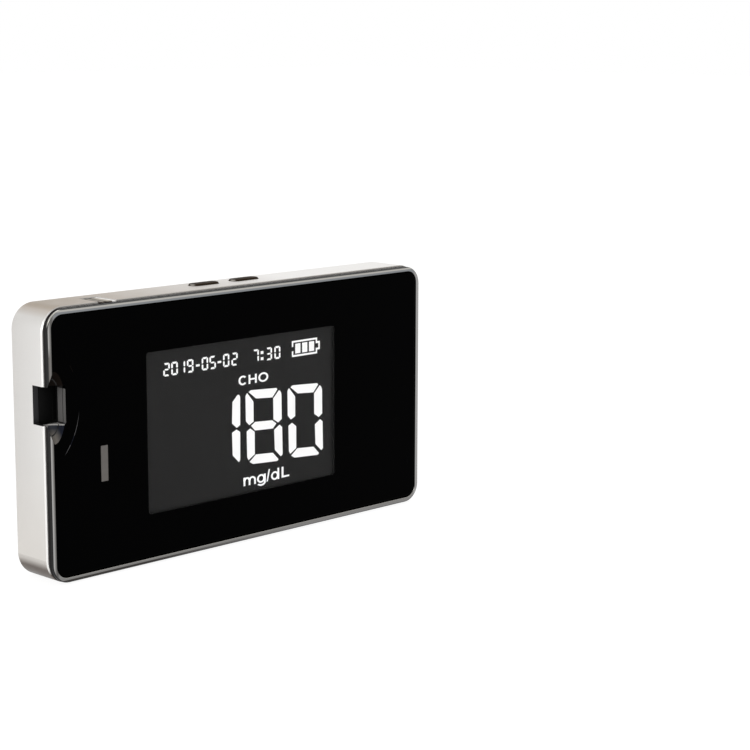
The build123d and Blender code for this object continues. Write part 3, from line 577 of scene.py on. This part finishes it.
def seven_segments(upright, level, middle):
    """The seven segments of an even figure, by letter, centred on the origin.

    upright: the upper right one; level and middle: the right halves of the top and the middle one."""
    level = level + [(-x, z) for x, z in level[::-1]]
    middle = middle + [(-x, z) for x, z in middle[::-1]]
    return {
        "a": level,
        "b": upright,
        "c": [(x, -z) for x, z in upright],
        "d": [(x, -z) for x, z in level],
        "e": [(-x, -z) for x, z in upright],
        "f": [(-x, z) for x, z in upright],
        "g": middle,
    }


# The segments that each figure lights
LIT = {
    "0": "abcdef",
    "1": "bc",
    "2": "abged",
    "3": "abgcd",
    "5": "afgcd",
    "7": "abc",
    "8": "abcdefg",
    "9": "abcdfg",
}

# The value, whose segments lean apart unevenly and sink slightly to the right
value_segments = {
    "a": [(-3.95, 7.25), (-3.4, 7.6), (3.52, 7.45), (3.74, 7.15), (2.4, 5.62), (-2.0, 5.8)],
    "b": [(4.22, 6.95), (4.62, 6.65), (4.86, 6.1), (4.9, 0.98), (3.93, 0.32), (2.66, 1.1), (2.63, 5.38)],
    "c": [(4.3, -0.16), (5.0, -0.7), (5.1, -6.35), (4.62, -6.75), (2.99, -5.25), (2.84, -1.1)],
    "d": [(-3.88, -6.95), (-2.95, -7.45), (3.6, -7.6), (3.98, -7.28), (2.42, -5.76), (-2.15, -5.6)],
    "e": [(-3.6, -0.13), (-2.46, -0.95), (-2.47, -5.5), (-4.13, -6.53), (-4.48, -5.95), (-4.58, -0.66)],
    "f": [(-4.38, 7.1), (-2.72, 5.25), (-2.72, 1.16), (-3.9, 0.58), (-4.76, 1.44), (-4.81, 6.55)],
    "g": [(-3.4, 0.37), (-2.3, 1.07), (2.32, 0.93), (3.42, 0.2), (2.48, -0.76), (-2.32, -0.68)],
}
value_slope = -0.04
value_x, value_z = 8.0, -3.25
value_digits = (("8", 4.2), ("0", 15.55))
value_one = [
    [(-4.06, 2.86), (-2.72, 4.15), (-2.3, 4.12), (-2.04, 3.7), (-2.1, -2.0), (-3.0, -2.45), (-4.22, -1.42)],
    [(-4.24, -3.27), (-3.06, -2.8), (-2.13, -3.38), (-2.17, -9.0), (-2.5, -9.5), (-4.13, -7.87)],
]


def value_shapes():
    shapes = list(value_one)
    for figure, centre in value_digits:
        for letter in LIT[figure]:
            segment = moved(value_segments[letter], centre, value_z)
            shapes.append([(x, z + value_slope * (x - value_x)) for x, z in segment])
    return shapes


figures("screen_value", value_shapes())

# Date and time
small_segments = seven_segments(
    upright=[(0.42, 0.86), (0.62, 1.16), (0.81, 1.0), (0.81, 0.18), (0.64, 0.07), (0.42, 0.22)],
    level=[(0.33, 0.92), (0.55, 1.22), (0.45, 1.3)],
    middle=[(0.31, -0.16), (0.54, 0.0), (0.31, 0.16)],
)
small_z = 11.42
date_digits = (
    ("2", -20.65), ("0", -18.68), ("1", -16.85), ("9", -14.77),
    ("0", -11.05), ("5", -9.07),
    ("0", -5.57), ("2", -3.4),
)
date_dashes = (-12.86, -7.34)
dash = bar(-0.46, -0.33, 0.46, 0.09)
time_digits = (("7", 2.22), ("3", 5.75), ("0", 8.03))
colon_x, colon_z = 3.9, (-0.77, 0.46)
dot = bar(-0.36, -0.3, 0.36, 0.3)


def small_figures(digits):
    return [moved(small_segments[letter], x, small_z) for figure, x in digits for letter in LIT[figure]]


figures("screen_date", small_figures(date_digits) + [moved(dash, x, small_z) for x in date_dashes])
figures("screen_time", small_figures(time_digits) + [moved(dot, colon_x, small_z + z) for z in colon_z])

# Battery sign: a case with a gap on its left side, a terminal on its right side, and bars of charge
battery_left, battery_low, battery_right, battery_high = 12.02, 9.98, 19.05, 13.27
battery_line = 0.37
gap_low, gap_high = 11.2, 12.05
terminal_right, terminal_low, terminal_high = 19.82, 10.75, 12.5
terminal_line = 0.4
charge_left, charge_low, charge_high = 12.95, 10.62, 12.62
charge_width, charge_pitch, charge_count = 1.42, 1.92, 3


def battery_sign():
    x0, z0, x1, z1 = battery_left, battery_low, battery_right, battery_high
    inside_left, inside_low = x0 + battery_line, z0 + battery_line
    inside_right, inside_high = x1 - battery_line, z1 - battery_line
    end = terminal_right - terminal_line
    lower, upper = terminal_low + terminal_line, terminal_high - terminal_line
    shapes = [
        bar(x0, inside_high, x1, z1),
        bar(x0, z0, x1, inside_low),
        bar(x0, gap_high, inside_left, inside_high),
        bar(x0, inside_low, inside_left, gap_low),
        bar(inside_right, upper, x1, inside_high),
        bar(inside_right, inside_low, x1, lower),
        bar(x1, upper, end, terminal_high),
        bar(x1, terminal_low, end, lower),
        bar(end, terminal_low, terminal_right, terminal_high),
    ]
    for i in range(charge_count):
        left = charge_left + i * charge_pitch
        shapes.append(bar(left, charge_low, left + charge_width, charge_high))
    return shapes


figures("screen_battery", battery_sign())

# ---------------------------------------------------------------- screen words
ring_steps = 40
fewest_steps = 4


def ring(x, z, rx, rz, width, rise, start=0, stop=360):
    """Part of an elliptical stroke, as quads, width across at its sides and rise at its top.

    Angles are in degrees from +x, counter-clockwise."""
    count = max(fewest_steps, round(ring_steps * (stop - start) / 360))
    angles = [math.radians(start + (stop - start) * i / count) for i in range(count + 1)]
    inner = [(x + (rx - width) * math.cos(a), z + (rz - rise) * math.sin(a)) for a in angles]
    outer = [(x + rx * math.cos(a), z + rz * math.sin(a)) for a in angles]
    return [[outer[i], outer[i + 1], inner[i + 1], inner[i]] for i in range(count)]


# What is measured: an upright letter between two round ones, which are given by middle and half width
label_low, label_high = 5.97, 7.80
label_width, label_rise = 0.48, 0.35
label_overshoot = 0.05
label_c, label_c_half, label_c_ends = -1.28, 1.13, (42, 318)
label_h_left, label_h_right = 0.24, 2.42
label_o, label_o_half = 4.18, 1.33


def label_words():
    low, high, s = label_low, label_high, label_width
    mid, round_half = (low + high) / 2, (high - low) / 2 + label_overshoot
    bridge_low, bridge_high = mid - label_rise / 2, mid + label_rise / 2
    return [
        *ring(label_c, mid, label_c_half, round_half, s, label_rise, *label_c_ends),
        bar(label_h_left, low, label_h_left + s, high),
        bar(label_h_right - s, low, label_h_right, high),
        bar(label_h_left + s, bridge_low, label_h_right - s, bridge_high),
        *ring(label_o, mid, label_o_half, round_half, s, label_rise),
    ]


figures("screen_label", label_words())

# Its unit, in small letters: left and right end of each
unit_base = -14.62
unit_x_height, unit_ascent = 1.72, 2.33
unit_width, unit_rise = 0.46, 0.36
unit_m = (-1.33, 0.04, 1.96)
unit_g, unit_d = (2.29, 4.62), (6.1, 8.33)
unit_slash, unit_l = (4.85, 5.45), (9.0, 11.1)
arch_share = 0.8
bowl_inset, bowl_overshoot = 0.08, 0.03
hook_lift, hook_depth, hook_ends = 0.02, 0.68, (205, 360)
slash_width, slash_below, slash_above = 0.36, 0.05, 0.1
l_lift, l_extra = 0.1, 0.06


def unit_words():
    s, t, base = unit_width, unit_rise, unit_base
    top, high = base + unit_x_height, base + unit_ascent
    mid, half = (base + top) / 2, unit_x_height / 2

    left, middle, right = unit_m
    shapes = [bar(left, base, left + s, top)]
    for start, stop in ((left, middle + s), (middle, right)):
        rx = (stop - start) / 2
        rz = rx * arch_share
        shapes += ring(start + rx, top - rz, rx, rz, s, t, 0, 180)
        shapes.append(bar(stop - s, base, stop, top - rz))

    for (start, stop), stem_top in ((unit_g, top), (unit_d, high)):
        rx = (stop - start) / 2 - bowl_inset
        shapes += ring(start + rx, mid, rx, half + bowl_overshoot, s, t)
        shapes.append(bar(stop - s, base, stop, stem_top))
    hook = (unit_g[1] - unit_g[0]) / 2
    shapes += ring(unit_g[0] + hook, base + hook_lift, hook, hook_depth, s, t, *hook_ends)

    x0, x1 = unit_slash
    foot, tip = base - slash_below, high + slash_above
    shapes.append([(x0, foot), (x0 + slash_width, foot), (x1 + slash_width, tip), (x1, tip)])

    x0, x1 = unit_l
    foot = base + l_lift
    shapes += [bar(x0, foot, x0 + s + l_extra, high), bar(x0 + s, foot, x1, foot + t)]
    return shapes


figures("screen_unit", unit_words())

# ---------------------------------------------------------------- floor, light and world
floor_half = 3.0
floor_drop = 0.02 * mm
white_floor_strength, white_floor_share = 1.15, 0.8
white_world_strength, white_world_share = 1.0, 1.0
sky_color, sky_strength = (1.0, 0.99, 0.975, 1), 0.62

floor_mesh = bpy.data.meshes.new("floor")
floor_mesh.from_pydata(
    [(x * floor_half, y * floor_half, -floor_drop) for x, y in ((-1, -1), (1, -1), (1, 1), (-1, 1))],
    [],
    [(0, 1, 2, 3)],
)
floor = bpy.data.objects.new("floor", floor_mesh)
bpy.context.scene.collection.objects.link(floor)


def shown_white(tree, lit, white_type, strength, share):
    """Mix white into a lit shader by a share, for camera, transmission and glossy rays alone."""
    rays = tree.nodes.new("ShaderNodeLightPath")
    seen = rays.outputs["Is Camera Ray"]
    for ray in ("Is Transmission Ray", "Is Glossy Ray"):
        either = tree.nodes.new("ShaderNodeMath")
        either.operation = "MAXIMUM"
        tree.links.new(seen, either.inputs[0])
        tree.links.new(rays.outputs[ray], either.inputs[1])
        seen = either.outputs["Value"]
    part = tree.nodes.new("ShaderNodeMath")
    part.operation = "MULTIPLY"
    part.inputs[1].default_value = share
    tree.links.new(seen, part.inputs[0])
    white = tree.nodes.new(white_type)
    white.inputs["Color"].default_value = (1, 1, 1, 1)
    white.inputs["Strength"].default_value = strength
    mix = tree.nodes.new("ShaderNodeMixShader")
    tree.links.new(part.outputs["Value"], mix.inputs["Fac"])
    tree.links.new(lit, mix.inputs[1])
    tree.links.new(white.outputs[0], mix.inputs[2])
    return mix.outputs["Shader"]


floor_finish = Finish("floor_white", (0.86, 0.86, 0.86), roughness=0.9, specular=0.0)
floor_finish.mottle(floor_finish.noise(50 * mm), 0.01)
floor_finish.link(
    shown_white(
        floor_finish.tree,
        floor_finish.shader.outputs["BSDF"],
        "ShaderNodeEmission",
        white_floor_strength,
        white_floor_share,
    ),
    floor_finish.tree.nodes["Material Output"].inputs["Surface"],
)
floor_mesh.materials.append(floor_finish.material)

world = bpy.data.worlds.new("world")
bpy.context.scene.world = world
world.use_nodes = True
sky = world.node_tree.nodes["Background"]
sky.inputs["Color"].default_value = sky_color
sky.inputs["Strength"].default_value = sky_strength
world.node_tree.links.new(
    shown_white(
        world.node_tree,
        sky.outputs["Background"],
        "ShaderNodeBackground",
        white_world_strength,
        white_world_share,
    ),
    world.node_tree.nodes["World Output"].inputs["Surface"],
)


def soft_lamp(name, place, size, power):
    """A large soft lamp that looks at the object."""
    lamp = bpy.data.lights.new(name, "AREA")
    lamp.shape = "SQUARE"
    lamp.size = size
    lamp.energy = power
    holder = bpy.data.objects.new(name, lamp)
    holder.location = place
    target = Vector((0, 0, mid_z))
    holder.rotation_euler = (target - Vector(place)).to_track_quat("-Z", "Y").to_euler()
    bpy.context.scene.collection.objects.link(holder)


soft_lamp("lamp_left", place=(-0.9, -0.5, 0.5), size=0.7, power=4.6)
soft_lamp("lamp_above", place=(0.3, 0.3, 1.0), size=0.8, power=2.4)
